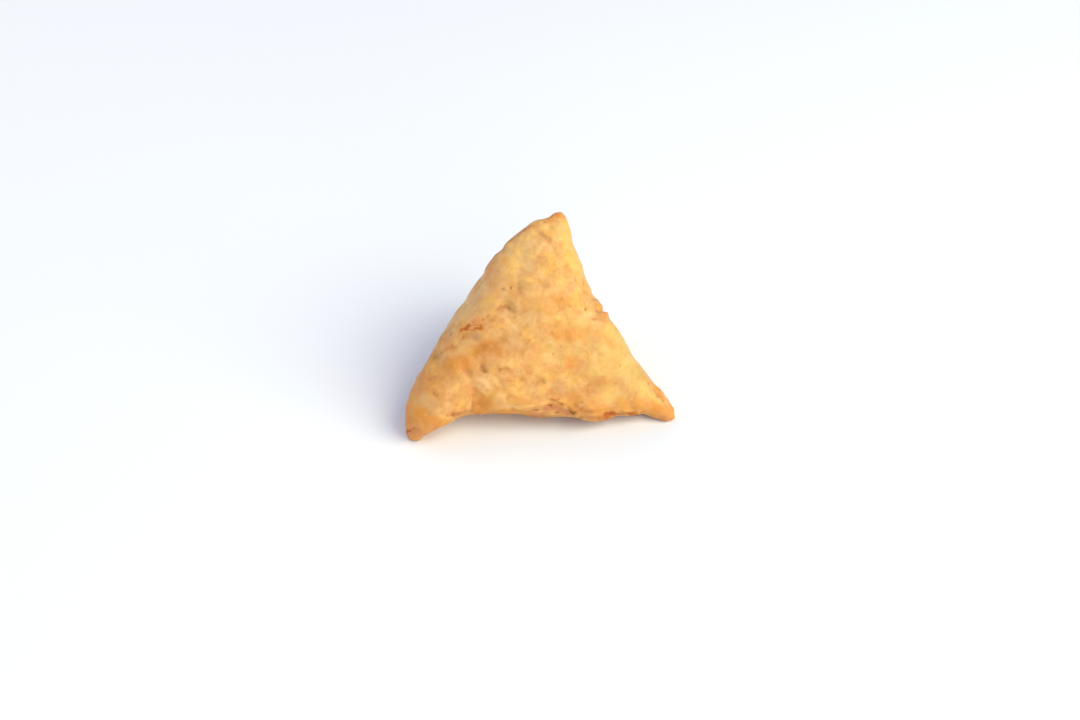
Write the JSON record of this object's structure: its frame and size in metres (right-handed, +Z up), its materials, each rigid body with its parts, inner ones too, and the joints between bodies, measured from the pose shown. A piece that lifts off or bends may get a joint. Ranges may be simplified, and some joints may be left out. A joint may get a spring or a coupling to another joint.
{
  "type": "fried samosa",
  "caption": "Whole fried samosa: a plump dough parcel with four domed sides and four pinched corners, standing on three of them with the fourth as its tip.",
  "frame": {"origin": "on the table, under the middle of the samosa's bounding box", "axes": "+X from the left toe to the right toe across the front, +Y away from the front, +Z up through the tip"},
  "size_m": [0.08, 0.0672, 0.0598],
  "materials": {
    "dough": "satin: fried wheat dough, slightly oily, blistered and unevenly browned"
  },
  "bodies": {
    "root": {"samosa": "dough"}
  },
  "joints": []
}
